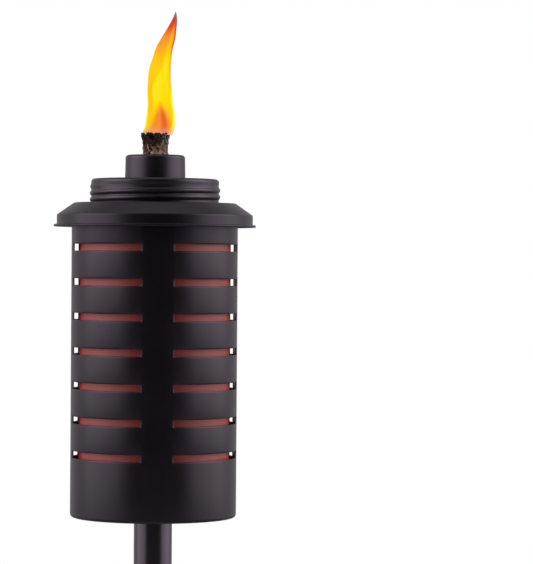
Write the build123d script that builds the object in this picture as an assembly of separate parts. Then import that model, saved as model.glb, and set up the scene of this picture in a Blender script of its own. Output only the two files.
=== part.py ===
from build123d import *
from build123d.topology import SkipClean
import os
from math import atan2, cos, hypot

# A garden torch on a pole. Millimetres, +Z up, front towards -Y.
# The origin is on the pole's axis at the ground line, where the spike goes into the soil.

# Pole: equal tubes, each with a reduced spigot on top that plugs into the next tube
tube_radius = 12.7
tube_wall = 0.9
section_names = ("pole_lower", "pole_middle", "pole_upper")
section_length = 380.0
spigot_length = 55.0
spigot_gap = 0.25
stem_length = 60.0
tube_edge = 0.4

# Ground spike, plugged and pinned into the lowest tube
spike_length = 211.0
spike_collar_height = 6.0
spike_collar_step = 0.5
spike_shaft_step = 1.8
spike_tip_radius = 1.5
spike_plug_length = 45.0
plug_gap = 0.05
spike_pin_radius = 2.0
spike_pin_height = 25.0
spike_pin_recess = 0.1

# Pressed sheet metal, and the play between pieces that are welded, seamed or crimped together
sheet = 0.8
seat_gap = 0.05

# Slotted shell of the head
shell_radius = 55.1
lip_height = 192.2
shell_corner = 2.2
shell_turn_in = 4.0
shell_seat_gap = 0.3
slot_rows = 7
slots_per_row = 4
slot_height = 4.5
slot_strip_angle = 22.5
slot_turn = 2.4
top_band = 13.6
bottom_band = 42.0

# Base of the shell, the flange of the stem and its fasteners
base_recess = 6.8
base_corner = 1.5
base_rim_drop = 4.4
flange_thickness = 1.5
flange_margin = 8.0
stem_stand_up = 1.5
screw_count = 3
screw_radius = 2.0
screw_hole_gap = 0.25
screw_circle_margin = 7.3
screw_head_radius = 3.6
screw_head_height = 2.3
screw_end = 1.5
washer_radius = 4.5
washer_thickness = 0.8
nut_width = 7.0
nut_height = 3.2
thread_gap = 0.02

# Cover over the shell's mouth
cover_height = 16.0
cover_rim_height = 8.0
cover_overhang = 9.9
cover_crown_inset = 1.6
cover_corner = 2.6
lip_width = 2.1
lip_edge = 1.2
cover_hole_gap = 0.7

# Fuel canister hanging inside the shell
can_gap = 4.6
can_wall = 0.6
can_floor_gap = 27.0
can_end_recess = 4.0
can_shoulder = 9.2
neck_height = 12.0
mouth_lip_width = 3.4
mouth_corner = 1.0

# Screw cap and gasket on the canister's neck
cap_sheet = 0.7
cap_gap = 0.4
cap_corner = 2.2
cap_skirt_gap = 0.7
cap_lid_gap = 0.2
gasket_thickness = 2.2
gasket_width = 2.0

# Burner: a raised boss in a flat lid, a plate under it and the tube that holds the wick
boss_radius = 20.05
boss_top_radius = 19.7
boss_height = 15.9
boss_corner = 2.2
boss_gap = 0.3
boss_root = 0.5
lid_gap = 0.3
plate_margin = 4.0
wick_tube_wall = 0.5
wick_tube_length = 55.0
wick_radius = 8.75
wick_gap = 0.35
wick_rise = 14.6
wick_floor_gap = 14.0

# Flame over the wick: (height above the wick, sideways lean, half width) of its sections
flame_sections = (
    (0.0, 0.6, 8.6),
    (10.0, 2.8, 8.4),
    (38.0, 3.2, 6.6),
    (54.0, 5.8, 5.2),
    (68.0, 10.6, 3.0),
    (79.0, 13.5, 0.6),
)

# Heights and sizes that follow from the values above
pole_top = len(section_names) * section_length
shell_bottom = pole_top + stem_length
lip_bottom = shell_bottom + lip_height
crown = lip_bottom + cover_height
can_bottom = shell_bottom + can_floor_gap
mouth = crown + neck_height
lid_bottom = mouth + gasket_thickness
cap_top = lid_bottom + sheet + cap_lid_gap + cap_sheet
boss_top = cap_top + boss_height
wick_top = boss_top + wick_rise

tube_bore = tube_radius - tube_wall
base_top = shell_bottom + base_recess
flange_top = base_top - sheet
flange_bottom = flange_top - flange_thickness
screw_circle = tube_radius + screw_circle_margin
flange_radius = screw_circle + flange_margin
cover_rim_radius = shell_radius + cover_overhang
cover_crown_radius = shell_radius - cover_crown_inset
can_radius = shell_radius - can_gap
can_end_radius = can_radius - can_wall - seat_gap
neck_radius = can_radius - can_shoulder
can_shoulder_top = crown - sheet
can_wall_top = can_shoulder_top - can_wall
cap_bore = neck_radius + cap_gap
cap_radius = cap_bore + cap_sheet
lid_radius = cap_radius - cap_corner - lid_gap
wick_tube_bore = wick_radius + wick_gap
wick_tube_radius = wick_tube_bore + wick_tube_wall


def ring(outer, inner, low, high):
    """A plain ring or tube about Z between two heights."""
    height = high - low
    up = (Align.CENTER, Align.CENTER, Align.MIN)
    body = Cylinder(outer, height, align=up) - Cylinder(inner, height, align=up)
    return Pos(0, 0, low) * body


def disc(radius, low, high):
    """A plain round block about Z between two heights."""
    return Pos(0, 0, low) * Cylinder(radius, high - low, align=(Align.CENTER, Align.CENTER, Align.MIN))


def beside(path, thickness):
    """The corners of a path moved sideways, to its right-hand side, by the thickness."""
    sides = []
    for start, end in zip(path, path[1:]):
        run = end[0] - start[0]
        rise = end[1] - start[1]
        length = hypot(run, rise)
        sides.append((rise / length, -run / length))
    corners = []
    for index, point in enumerate(path):
        before = sides[max(index - 1, 0)]
        after = sides[min(index, len(sides) - 1)]
        mitre = thickness / (1 + before[0] * after[0] + before[1] * after[1])
        corners.append((point[0] + (before[0] + after[0]) * mitre, point[1] + (before[1] + after[1]) * mitre))
    return corners


def turns_right(path, index):
    """Whether the path bends towards its right-hand side at a corner."""
    before = (path[index][0] - path[index - 1][0], path[index][1] - path[index - 1][1])
    after = (path[index + 1][0] - path[index][0], path[index + 1][1] - path[index][1])
    return before[0] * after[1] - before[1] * after[0] < 0


def turned_sheet(path, bends, thickness):
    """Sheet turned about Z. The path gives its outer face as (radius, height) corners, each inner
    corner with its bend radius, and the metal lies on the path's right-hand side."""
    inner = beside(path, thickness)
    outline = [(radius, 0, height) for radius, height in path + inner[::-1]]
    face = make_face(Polyline(*outline, close=True)).faces()[0]
    for index, bend in enumerate(bends, start=1):
        inner_bend = bend - thickness if turns_right(path, index) else bend + thickness
        for corner, radius in ((path[index], bend), (inner[index], inner_bend)):
            if radius > 0:
                vertex = face.vertices().sort_by_distance((corner[0], 0, corner[1]))[0]
                face = face.fillet_2d(radius, [vertex])
    return revolve(face, Axis.Z)


def around(piece, count, radius):
    """Copies of a piece spaced evenly on a circle about Z."""
    return [Rot(0, 0, 360 * index / count) * Pos(radius, 0, 0) * piece for index in range(count)]


# Pole and spike

def broken_edge(tube):
    """The tube with the outer edge of its lower end rounded, as it is after deburring."""
    ends = tube.edges().filter_by(GeomType.CIRCLE).group_by(Axis.Z)[0]
    return fillet(ends.sort_by(SortBy.RADIUS)[-1], tube_edge)


def pole_section(index):
    """One tube of the pole, from its lower end to the top of its reduced spigot."""
    low = index * section_length
    shoulder = low + section_length
    spigot_radius = tube_bore - spigot_gap
    path = [
        (spigot_radius, shoulder + spigot_length),
        (spigot_radius, shoulder),
        (tube_radius, shoulder),
        (tube_radius, low),
    ]
    tube = broken_edge(turned_sheet(path, (0, tube_edge), tube_wall))
    if index == 0:
        tube -= spike_pin_shape(spike_pin_radius + plug_gap, tube_radius + spike_pin_recess)
    return tube


def spike_pin_shape(radius, reach):
    """A round pin through the foot of the pole, along Y."""
    return Pos(0, 0, spike_pin_height) * Rot(90, 0, 0) * Cylinder(radius, 2 * reach)


def ground_spike():
    """A solid spike: plug inside the tube, collar under the tube's end and tapered point."""
    plug_radius = tube_bore - plug_gap
    shaft_radius = tube_radius - spike_shaft_step
    plug = disc(plug_radius, 0, spike_plug_length)
    collar = disc(tube_radius - spike_collar_step, -spike_collar_height, 0)
    taper = spike_length - spike_collar_height
    hanging = (Align.CENTER, Align.CENTER, Align.MAX)
    point = Cone(spike_tip_radius, shaft_radius, taper, align=hanging)
    point = Pos(0, 0, -spike_collar_height) * point
    plug = chamfer(plug.edges().sort_by(Axis.Z)[-1], spike_collar_step)
    return plug + collar + point - spike_pin_shape(spike_pin_radius + plug_gap, tube_radius)


def spike_pin():
    return spike_pin_shape(spike_pin_radius, tube_radius - spike_pin_recess)


# Head: shell, base, stem and fasteners

def cone_height(radius):
    """Height of the cover's outer slope at a radius."""
    fall = (cover_height - cover_rim_height) / (cover_rim_radius - cover_crown_radius)
    return crown - (radius - cover_crown_radius) * fall


def shell_top():
    """The shell's upper edge, a seat gap under the sloping sheet of the cover."""
    slope = atan2(cover_height - cover_rim_height, cover_rim_radius - cover_crown_radius)
    return cone_height(shell_radius) - (sheet + shell_seat_gap) / cos(slope)


def pierced_band(low, high):
    """One row of the shell's wall: a short ring with a row of slots cut right through it."""
    slot_angle = 360 / slots_per_row - slot_strip_angle
    section = Plane.XZ * Pos(shell_radius, (low + high) / 2) * Rectangle(4 * sheet, 2 * slot_height)
    slot = revolve(section, Axis.Z, slot_angle)
    band = ring(shell_radius, shell_radius - sheet, low, high)
    for column in range(slots_per_row):
        band -= Rot(0, 0, slot_turn - 90 + slot_strip_angle / 2 + column * 360 / slots_per_row) * slot
    return band


def slotted_shell():
    """Deep drawn shell with a turned-in foot and rows of level slots through its wall. The wall is
    stacked from rings, and the seams between them stay as edges, so that each face is simple."""
    slot_pitch = (lip_height - top_band - bottom_band) / (slot_rows - 1)
    bands = []
    ring_top = shell_top()
    for row in range(slot_rows):
        slot_top = lip_bottom - top_band - row * slot_pitch + slot_height / 2
        bands.append(ring(shell_radius, shell_radius - sheet, slot_top, ring_top))
        ring_top = slot_top - slot_height
        bands.append(pierced_band(ring_top, slot_top))
    foot_path = [
        (shell_radius, ring_top),
        (shell_radius, shell_bottom),
        (shell_radius - shell_turn_in, shell_bottom),
    ]
    foot = turned_sheet(foot_path, (shell_corner,), sheet)
    with SkipClean():
        return foot.fuse(*bands)


def screw_holes(low, high):
    """Clearance holes for the stem's screws through a level sheet."""
    return around(disc(screw_radius + screw_hole_gap, low, high), screw_count, screw_circle)


def shell_base():
    """Floor pan of the shell, with a rim turned down inside the wall and a hole for the stem."""
    rim_radius = shell_radius - sheet - seat_gap
    path = [
        (tube_radius + seat_gap, base_top),
        (rim_radius, base_top),
        (rim_radius, base_top - base_rim_drop),
    ]
    pan = turned_sheet(path, (base_corner,), sheet)
    return pan - screw_holes(flange_top, base_top)


def stem_flange():
    """Flat ring welded to the stem, under the shell's base."""
    plate = ring(flange_radius, tube_radius + seat_gap, flange_bottom, flange_top)
    return plate - screw_holes(flange_bottom, flange_top)


def head_stem():
    """Short tube under the head, the socket for the top spigot of the pole."""
    return broken_edge(ring(tube_radius, tube_bore, pole_top, base_top + stem_stand_up))


def stem_screws():
    """Pan-head screws that hold the flange to the base, heads down."""
    nut_top = base_top + washer_thickness + nut_height
    head = disc(screw_head_radius, flange_bottom - screw_head_height, flange_bottom)
    head = fillet(head.edges().sort_by(Axis.Z)[0], screw_head_height / 2)
    screw = head + disc(screw_radius, flange_bottom, nut_top + screw_end)
    return Compound(around(screw, screw_count, screw_circle))


def stem_washers():
    washer = ring(washer_radius, screw_radius + screw_hole_gap, base_top, base_top + washer_thickness)
    return Compound(around(washer, screw_count, screw_circle))


def stem_nuts():
    hexagon = RegularPolygon(nut_width / 2, 6, major_radius=False)
    hexagon -= Circle(screw_radius + thread_gap)
    nut = Pos(0, 0, base_top + washer_thickness) * extrude(hexagon, nut_height)
    return Compound(around(nut, screw_count, screw_circle))


# Canister and its cover

def canister_cover():
    """Pressed cover: level crown, sloping shoulder, upright rim and a lip turned outwards."""
    lip_radius = cover_rim_radius + lip_width
    lip_top = lip_bottom + lip_edge
    path = [
        (neck_radius + cover_hole_gap, crown),
        (cover_crown_radius, crown),
        (cover_rim_radius, lip_bottom + cover_rim_height),
        (cover_rim_radius, lip_top),
        (lip_radius, lip_top),
        (lip_radius, lip_bottom),
    ]
    return turned_sheet(path, (cover_corner, 2 * sheet, sheet / 2, sheet), sheet)


def canister_neck():
    """Upright neck for the screw cap, soldered into the canister's top, its mouth turned in."""
    path = [
        (neck_radius - mouth_lip_width, mouth),
        (neck_radius, mouth),
        (neck_radius, can_wall_top),
    ]
    return turned_sheet(path, (mouth_corner,), can_wall)


def canister_top():
    """Level top of the canister, under the cover, with the hole for the neck."""
    return ring(can_radius, neck_radius + seat_gap, can_wall_top, can_shoulder_top)


def canister_body():
    return ring(can_radius, can_radius - can_wall, can_bottom, can_wall_top)


def canister_bottom():
    """Bottom of the canister, set up inside the wall on its own rim."""
    top = can_bottom + can_end_recess
    path = [(0, top), (can_end_radius, top), (can_end_radius, can_bottom)]
    return turned_sheet(path, (2 * can_wall,), can_wall)


# Cap, burner, wick and flame

def cap_gasket():
    """Flat rubber ring between the mouth of the neck and the burner's lid."""
    return ring(lid_radius, lid_radius - gasket_width, mouth, lid_bottom)


def screw_cap():
    """Threaded band with a top, which turns around the boss and draws the lid down."""
    path = [
        (boss_radius + boss_gap, cap_top),
        (cap_radius, cap_top),
        (cap_radius, crown + cap_skirt_gap),
    ]
    return turned_sheet(path, (cap_corner,), cap_sheet)


def burner_cap():
    """Boss around the wick and the flat lid that it is drawn from, in one pressing."""
    path = [
        (wick_tube_radius + seat_gap, boss_top),
        (boss_top_radius, boss_top),
        (boss_radius, lid_bottom + sheet),
        (lid_radius, lid_bottom + sheet),
    ]
    return turned_sheet(path, (boss_corner, boss_root), sheet)


def burner_plate():
    """Plate spot welded under the lid, which steadies the wick tube."""
    return ring(boss_radius + plate_margin, wick_tube_radius + seat_gap, lid_bottom - sheet, lid_bottom)


def wick_tube():
    return ring(wick_tube_radius, wick_tube_bore, boss_top - wick_tube_length, boss_top)


def wick():
    floor = can_bottom + can_end_recess
    return disc(wick_radius, floor + wick_floor_gap, wick_top)


def flame():
    """Closed solid of the flame's outer shape, leaning to one side towards its tip."""
    rings = []
    for height, lean, half_width in flame_sections:
        rings.append(Pos(lean, 0, wick_top + height) * Circle(half_width))
    return loft(rings)


def build_all():
    """Every piece of the torch by its name, from the ground up."""
    pieces = {"ground_spike": ground_spike(), "spike_pin": spike_pin()}
    for index, name in enumerate(section_names):
        pieces[name] = pole_section(index)
    makers = (
        head_stem, stem_flange, shell_base, stem_screws, stem_washers, stem_nuts, slotted_shell,
        canister_body, canister_bottom, canister_top, canister_neck, canister_cover, cap_gasket, screw_cap,
        burner_cap, burner_plate, wick_tube, wick, flame,
    )
    for maker in makers:
        pieces[maker.__name__] = maker()
    return pieces


os.makedirs("parts", exist_ok=True)
for name, piece in build_all().items():
    export_step(piece, f"parts/{name}.step")
print("overall height", spike_length + wick_top + flame_sections[-1][0])
print("cap radius", cap_radius, "shell top", shell_top(), "canister bottom", can_bottom)
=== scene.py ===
# %% [markdown]
# # A garden torch on a pole
# The torch is a black sheet-metal head on a thin pole. A red fuel canister hangs inside a slotted
# shell, a screw cap closes it, and a braided wick stands in a boss on top and carries the flame.
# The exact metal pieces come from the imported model. This lesson adds what a lathe drawing can't
# say: the rolled thread, the braid, the flame and every finish.

# %% Load the frame
import bpy
import random
from math import cos, exp, hypot, pi, radians, sin, tau
from mathutils import Euler, Matrix, Vector, noise


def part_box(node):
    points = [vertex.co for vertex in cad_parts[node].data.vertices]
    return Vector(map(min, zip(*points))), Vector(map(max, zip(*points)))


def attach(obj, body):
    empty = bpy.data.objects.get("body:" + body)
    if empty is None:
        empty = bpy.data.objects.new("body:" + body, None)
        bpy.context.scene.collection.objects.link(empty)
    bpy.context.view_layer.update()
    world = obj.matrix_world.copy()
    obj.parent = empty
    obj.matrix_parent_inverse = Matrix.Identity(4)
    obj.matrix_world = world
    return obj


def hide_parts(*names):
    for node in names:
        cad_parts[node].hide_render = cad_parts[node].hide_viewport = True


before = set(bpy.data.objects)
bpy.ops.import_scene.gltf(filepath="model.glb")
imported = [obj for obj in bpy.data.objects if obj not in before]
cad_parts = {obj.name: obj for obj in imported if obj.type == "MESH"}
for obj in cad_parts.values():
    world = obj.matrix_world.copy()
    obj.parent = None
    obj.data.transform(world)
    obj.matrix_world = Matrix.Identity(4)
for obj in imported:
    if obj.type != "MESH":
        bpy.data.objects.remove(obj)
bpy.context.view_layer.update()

MM = 0.001

# %% [markdown]
# ## Heights to build from
# Everything is turned about one upright axis, so a few heights and radii place every piece. They are
# read from the boxes of the metal pieces, because a value that is read follows the model when a
# size changes, and a copied one doesn't.

# %% Read the main heights and radii


def top_of(node):
    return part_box(node)[1].z


def bottom_of(node):
    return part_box(node)[0].z


def radius_of(node):
    low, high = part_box(node)
    return (high.y - low.y) / 2


cap_top = top_of("screw_cap")
cap_radius = radius_of("screw_cap")
lip_foot = bottom_of("canister_cover")
boss_top = top_of("burner_cap")
wick_top = top_of("wick")
ground = bottom_of("ground_spike")
for label, height in (("lip", lip_foot), ("cap", cap_top), ("boss", boss_top), ("wick", wick_top)):
    print(label, round(height, 4))

# %% [markdown]
# ## Camera
# A long lens from almost two metres away, level with the cover, keeps the upright sides parallel
# and shows the rim nearly edge on. The torch stands left of the middle, so the camera is turned a
# little to the right of it instead of shifting the lens: turning keeps other views centred. A hand
# held camera is never quite level, and this one is rolled by less than half a degree.

# %% Place the camera
CAMERA_DISTANCE = 1.86
CAMERA_BELOW_LIP = 0.0206
CAMERA_TURN = radians(2.29)
CAMERA_DIP = radians(0.471)
CAMERA_ROLL = radians(0.4)
LENS_MM = 178.7

camera_data = bpy.data.cameras.new("camera")
camera_data.lens = LENS_MM
camera_data.clip_start = 0.05
camera_data.clip_end = 60
camera = bpy.data.objects.new("camera", camera_data)
camera.location = (0, -CAMERA_DISTANCE, lip_foot - CAMERA_BELOW_LIP)
aim = Euler((pi / 2 - CAMERA_DIP, 0, -CAMERA_TURN)).to_matrix() @ Matrix.Rotation(CAMERA_ROLL, 3, "Z")
camera.rotation_euler = aim.to_euler()
bpy.context.scene.collection.objects.link(camera)
bpy.context.scene.camera = camera
print("camera at", tuple(round(value, 3) for value in camera.location))

# %% [markdown]
# ## Small tools for node trees
# Every finish below is a node tree, so a few helpers keep the cells short: one adds a node with its
# settings, one joins two sockets, and one starts a material and hands back its Principled shader.

# %% Node helpers


def add_node(tree, kind, **settings):
    """A new node in a tree. A setting named after an input fills that input, others are properties."""
    node = tree.nodes.new(kind)
    for name, value in settings.items():
        label = name.replace("_", " ").title()
        if label in node.inputs:
            node.inputs[label].default_value = value
        else:
            setattr(node, name, value)
    return node


def join(tree, start, end):
    tree.links.new(start, end)


def new_finish(name, colour, roughness, metallic=0.0, level=0.5, tint=(1, 1, 1)):
    """A material with a Principled shader whose plain values sit on its own sockets."""
    finish = bpy.data.materials.new(name)
    finish.use_nodes = True
    shader = finish.node_tree.nodes["Principled BSDF"]
    shader.inputs["Base Color"].default_value = (*colour, 1)
    shader.inputs["Roughness"].default_value = roughness
    shader.inputs["Metallic"].default_value = metallic
    shader.inputs["Specular IOR Level"].default_value = level
    shader.inputs["Specular Tint"].default_value = (*tint, 1)
    finish.diffuse_color = (*colour, 1)
    return finish, shader


print("node helpers ready")

# %% [markdown]
# Two steps come back in almost every finish: a mix of two colours, and a bump under the surface.

# %% Colour and bump helpers


def two_tone(tree, low, high, mask):
    """A mix of two colours by a mask. A colour is three numbers or another node's socket."""
    mix = add_node(tree, "ShaderNodeMix", data_type="RGBA")
    for label, colour in (("A", low), ("B", high)):
        if isinstance(colour, tuple):
            mix.inputs[label].default_value = (*colour, 1)
        else:
            join(tree, colour, mix.inputs[label])
    join(tree, mask, mix.inputs["Factor"])
    return mix.outputs["Result"]


def raise_bump(tree, shader, height, strength, distance):
    """A Bump node between a height and the shader's normal."""
    bump = add_node(tree, "ShaderNodeBump", strength=strength, distance=distance)
    join(tree, height, bump.inputs["Height"])
    join(tree, bump.outputs["Normal"], shader.inputs["Normal"])


print("colour and bump helpers ready")

# %% [markdown]
# An effect that several finishes share is a node group. One helper opens a group with named inputs
# and outputs, and one places it in a material with that material's own values.

# %% Group helpers


def new_group(name, inputs, outputs):
    """An empty shader node group with named float or colour sockets, and its two end nodes."""
    group = bpy.data.node_groups.new(name, "ShaderNodeTree")
    for label, value in inputs.items():
        kind = "NodeSocketColor" if isinstance(value, tuple) else "NodeSocketFloat"
        socket = group.interface.new_socket(label, in_out="INPUT", socket_type=kind)
        socket.default_value = (*value, 1) if isinstance(value, tuple) else value
    for label, kind in outputs.items():
        group.interface.new_socket(label, in_out="OUTPUT", socket_type=kind)
    start = group.nodes.new("NodeGroupInput")
    end = group.nodes.new("NodeGroupOutput")
    return group, start, end


def use_group(tree, group, **values):
    """A group placed in a material's tree, with its own values."""
    node = tree.nodes.new("ShaderNodeGroup")
    node.node_tree = group
    for name, value in values.items():
        node.inputs[name.replace("_", " ").capitalize()].default_value = value
    return node


print("group helpers ready")

# %% [markdown]
# ## Shared effect: powder skin
# Powder coating melts and sets with a faint orange-peel skin: low swells a few millimetres wide with
# a fine grain on top. Two noises, one coarse and one fine, give that as a height for a Bump node,
# and a slow third one varies how dull the coating is, as handling does. Lacquer, plate and rubber
# have the same two scales in other measures, so they use the group with values of their own.

# %% Powder skin group


def make_powder_skin():
    group, start, end = new_group(
        "Powder skin",
        {"Swell size": 260.0, "Grain size": 2600.0, "Grain": 0.35, "Dull": 0.32, "Shine spread": 0.1},
        {"Height": "NodeSocketFloat", "Roughness": "NodeSocketFloat", "Patch": "NodeSocketFloat"},
    )
    place = add_node(group, "ShaderNodeTexCoord")
    swell = add_node(group, "ShaderNodeTexNoise", detail=1.0, roughness=0.4)
    grain = add_node(group, "ShaderNodeTexNoise", detail=2.0, roughness=0.6)
    patch = add_node(group, "ShaderNodeTexNoise", scale=38.0, detail=4.0, roughness=0.6)
    for texture in (swell, grain, patch):
        join(group, place.outputs["Object"], texture.inputs["Vector"])
    join(group, start.outputs["Swell size"], swell.inputs["Scale"])
    join(group, start.outputs["Grain size"], grain.inputs["Scale"])
    total = add_node(group, "ShaderNodeMath", operation="MULTIPLY_ADD")
    join(group, grain.outputs["Fac"], total.inputs[0])
    join(group, start.outputs["Grain"], total.inputs[1])
    join(group, swell.outputs["Fac"], total.inputs[2])
    spread = add_node(group, "ShaderNodeMath", operation="MULTIPLY_ADD")
    centred = add_node(group, "ShaderNodeMath", operation="SUBTRACT")
    centred.inputs[1].default_value = 0.5
    join(group, patch.outputs["Fac"], centred.inputs[0])
    join(group, centred.outputs[0], spread.inputs[0])
    join(group, start.outputs["Shine spread"], spread.inputs[1])
    join(group, start.outputs["Dull"], spread.inputs[2])
    join(group, total.outputs[0], end.inputs["Height"])
    join(group, spread.outputs[0], end.inputs["Roughness"])
    join(group, patch.outputs["Fac"], end.inputs["Patch"])
    return group


powder_skin = make_powder_skin()
print("group", powder_skin.name)

# %% [markdown]
# ## Shared effect: fine scratches
# Metal that is turned, wiped and slid over other metal carries hair-fine marks. On a round piece
# they mostly run around it, so the noise is read with its height stretched: close lines along the
# axis, long lines around it.

# %% Fine scratches group


def make_fine_scratches():
    group, start, end = new_group(
        "Fine scratches",
        {"Across": 2400.0, "Along": 60.0, "Sharpness": 0.62},
        {"Height": "NodeSocketFloat", "Mask": "NodeSocketFloat"},
    )
    place = add_node(group, "ShaderNodeTexCoord")
    stretch = add_node(group, "ShaderNodeCombineXYZ")
    join(group, start.outputs["Along"], stretch.inputs["X"])
    join(group, start.outputs["Along"], stretch.inputs["Y"])
    join(group, start.outputs["Across"], stretch.inputs["Z"])
    scaled = add_node(group, "ShaderNodeVectorMath", operation="MULTIPLY")
    join(group, place.outputs["Object"], scaled.inputs[0])
    join(group, stretch.outputs[0], scaled.inputs[1])
    lines = add_node(group, "ShaderNodeTexNoise", scale=1.0, detail=4.0, roughness=0.65)
    join(group, scaled.outputs[0], lines.inputs["Vector"])
    cut = add_node(group, "ShaderNodeMapRange", interpolation_type="SMOOTHSTEP")
    cut.inputs["From Max"].default_value = 0.75
    join(group, start.outputs["Sharpness"], cut.inputs["From Min"])
    join(group, lines.outputs["Fac"], cut.inputs["Value"])
    join(group, lines.outputs["Fac"], end.inputs["Height"])
    join(group, cut.outputs["Result"], end.inputs["Mask"])
    return group


fine_scratches = make_fine_scratches()
print("group", fine_scratches.name)

# %% [markdown]
# ## Finish: satin black coating
# The head, the cap and the pole are coated in satin black, each with its own gloss, and the smooth
# tubes of the pole shine most. The base colour is nearly nothing: what is seen is the studio's soft
# reflection, a little violet, which is a specular tint on the shader's own socket. The skin bends
# that reflection slightly, and scratches dull it in hair lines.

# %% Satin black coating
COATING_TINT = (0.99, 0.83, 1.0)
COATING_BLACK = (0.004, 0.0035, 0.0045)
COATING_DARK = (0.0025, 0.002, 0.003)
COATING_PALE = (0.0055, 0.0047, 0.006)
COATING_SKIN = 0.12 * MM


def make_coating(name, dull, grain, wear, level, index=1.5, relief=0.18):
    finish, shader = new_finish(name, COATING_BLACK, dull, level=level, tint=COATING_TINT)
    shader.inputs["IOR"].default_value = index
    tree = finish.node_tree
    skin = use_group(tree, powder_skin, Dull=dull, Grain=grain)
    marks = use_group(tree, fine_scratches)
    tone = two_tone(tree, COATING_DARK, COATING_PALE, skin.outputs["Patch"])
    join(tree, tone, shader.inputs["Base Color"])
    rough = add_node(tree, "ShaderNodeMath", operation="MULTIPLY_ADD")
    rough.inputs[1].default_value = wear
    join(tree, marks.outputs["Mask"], rough.inputs[0])
    join(tree, skin.outputs["Roughness"], rough.inputs[2])
    join(tree, rough.outputs[0], shader.inputs["Roughness"])
    raise_bump(tree, shader, skin.outputs["Height"], relief, COATING_SKIN)
    return finish


head_gloss = {"dull": 0.35, "grain": 0.35, "wear": 0.1, "level": 0.6, "relief": 0.12}
pole_gloss = {"dull": 0.22, "grain": 0.3, "wear": 0.08, "level": 0.95, "index": 1.62, "relief": 0.06}
cap_gloss = {"dull": 0.38, "grain": 0.4, "wear": 0.1, "level": 0.88}
head_coating = make_coating("satin_black_head", **head_gloss)
pole_coating = make_coating("satin_black_pole", **pole_gloss)
cap_coating = make_coating("satin_black_cap", **cap_gloss)
print("coatings", head_coating.name, pole_coating.name, cap_coating.name)

# %% [markdown]
# ## Finish: red canister lacquer
# The canister is lacquered tin plate. The lacquer is thin, so its red runs lighter and darker in
# slow clouds, and rings from handling show as small changes of shine.

# %% Red lacquer
LACQUER_RED = (0.52, 0.10, 0.08)
LACQUER_DEEP = (0.50, 0.062, 0.052)
LACQUER_BRIGHT = (0.72, 0.115, 0.095)
LACQUER_WORN = (0.66, 0.24, 0.20)
LACQUER_WEAR = 0.25
LACQUER_SKIN = 0.1 * MM


def make_red_lacquer():
    finish, shader = new_finish("red_lacquer", LACQUER_RED, roughness=0.42, level=0.6)
    tree = finish.node_tree
    skin = use_group(tree, powder_skin, Dull=0.38, Grain=0.2, Shine_spread=0.16)
    marks = use_group(tree, fine_scratches, Across=1500.0, Along=40.0)
    cloud = two_tone(tree, LACQUER_DEEP, LACQUER_BRIGHT, skin.outputs["Patch"])
    faint = add_node(tree, "ShaderNodeMath", operation="MULTIPLY")
    faint.inputs[1].default_value = LACQUER_WEAR
    join(tree, marks.outputs["Mask"], faint.inputs[0])
    worn = two_tone(tree, cloud, LACQUER_WORN, faint.outputs[0])
    join(tree, worn, shader.inputs["Base Color"])
    join(tree, skin.outputs["Roughness"], shader.inputs["Roughness"])
    raise_bump(tree, shader, skin.outputs["Height"], strength=0.15, distance=LACQUER_SKIN)
    return finish


red_lacquer = make_red_lacquer()
print("finish", red_lacquer.name)

# %% [markdown]
# ## Finish: bare and plated steel
# The neck, the plate and the wick tube are bare tin plate, and the fasteners are zinc plated. Both
# are metals with marks from the lathe running around them. The zinc is paler and duller.

# %% Bare and plated steel
LATHE_MARKS = 0.04 * MM


def make_steel(name, dark, light, roughness):
    finish, shader = new_finish(name, light, roughness, metallic=1.0)
    tree = finish.node_tree
    marks = use_group(tree, fine_scratches, Across=3200.0, Along=90.0, Sharpness=0.5)
    skin = use_group(tree, powder_skin, Dull=roughness, Shine_spread=0.2)
    tone = two_tone(tree, dark, light, skin.outputs["Patch"])
    join(tree, tone, shader.inputs["Base Color"])
    join(tree, skin.outputs["Roughness"], shader.inputs["Roughness"])
    raise_bump(tree, shader, marks.outputs["Height"], strength=0.25, distance=LATHE_MARKS)
    return finish


TIN_TONES = (0.42, 0.41, 0.39), (0.58, 0.57, 0.55)
ZINC_TONES = (0.48, 0.49, 0.50), (0.66, 0.67, 0.68)

tin_plate = make_steel("tin_plate", *TIN_TONES, roughness=0.3)
zinc_plate = make_steel("zinc_plate", *ZINC_TONES, roughness=0.42)
print("steels", tin_plate.name, zinc_plate.name)

# %% [markdown]
# ## Finish: gasket rubber
# The gasket is moulded black rubber: no mirror shine, a fine pitted skin and a trace of bloom, the
# pale film that old rubber grows.

# %% Gasket rubber
RUBBER_BLACK = (0.02, 0.02, 0.02)
RUBBER_DEEP = (0.014, 0.014, 0.014)
RUBBER_BLOOM = (0.05, 0.05, 0.048)
RUBBER_PITS = 0.1 * MM


def make_rubber():
    finish, shader = new_finish("moulded_rubber", RUBBER_BLACK, roughness=0.75, level=0.3)
    tree = finish.node_tree
    skin = use_group(tree, powder_skin, Swell_size=900.0, Grain=0.8, Dull=0.75)
    tone = two_tone(tree, RUBBER_DEEP, RUBBER_BLOOM, skin.outputs["Patch"])
    join(tree, tone, shader.inputs["Base Color"])
    join(tree, skin.outputs["Roughness"], shader.inputs["Roughness"])
    raise_bump(tree, shader, skin.outputs["Height"], strength=0.4, distance=RUBBER_PITS)
    return finish


moulded_rubber = make_rubber()
print("finish", moulded_rubber.name)

# %% [markdown]
# ## Give the metal pieces their finishes
# A piece of the frame keeps its mesh, and only its material changes. One table says which finish
# each group of pieces wears.

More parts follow.
